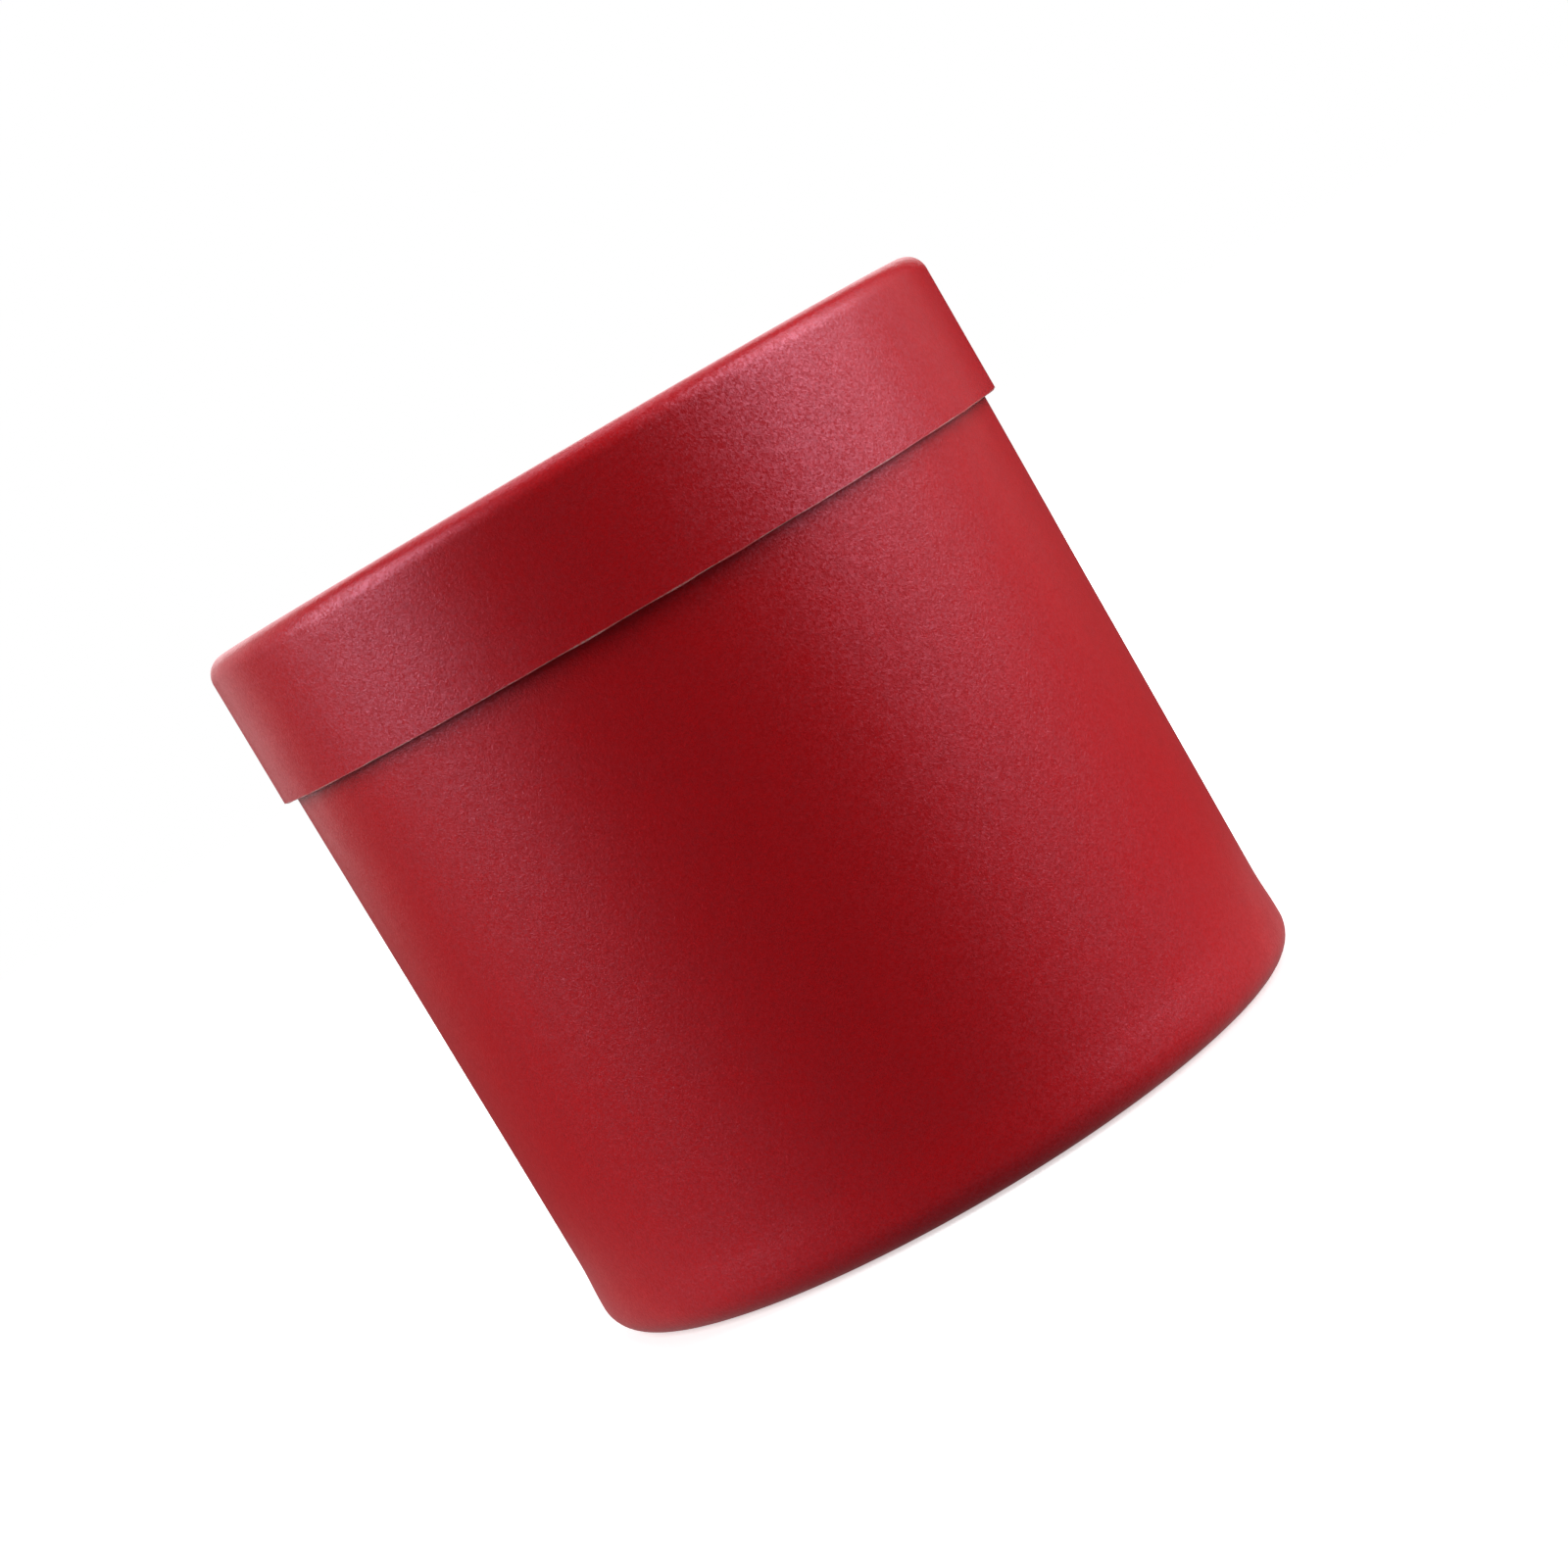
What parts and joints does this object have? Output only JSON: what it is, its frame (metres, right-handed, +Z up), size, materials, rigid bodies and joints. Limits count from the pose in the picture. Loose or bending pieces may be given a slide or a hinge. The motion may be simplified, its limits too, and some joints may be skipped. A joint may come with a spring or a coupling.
{
  "type": "lidded round box",
  "caption": "Round rigid cardboard box covered in paper, with a slip-over lid that lifts off, a rounded foot and a rounded lid edge.",
  "frame": {"origin": "centre of the foot's rim, on the surface that the box stands on", "axes": "+Z up along the box's axis, towards the lid; the box is round, and its wraps' joint is at +Y, the back"},
  "size_m": [0.125, 0.125, 0.12],
  "materials": {
    "pearl_paper": "satin",
    "greyboard": "matte",
    "lining_paper": "matte"
  },
  "bodies": {
    "box_body": {"body_tube": "greyboard", "body_wrap": "pearl_paper", "body_lining": "lining_paper", "body_bottom_board": "greyboard", "body_bottom_paper": "pearl_paper", "body_floor_paper": "lining_paper"},
    "lid": {"lid_tube": "greyboard", "lid_wrap": "pearl_paper", "lid_lining": "lining_paper", "lid_top_board": "greyboard", "lid_top_paper": "pearl_paper", "lid_underside_paper": "lining_paper"}
  },
  "joints": [
    {"name": "lid_lift", "type": "slide", "parent": "box_body", "child": "lid", "axis": [0, 0, 1], "range_m": [0, 0.14]}
  ]
}
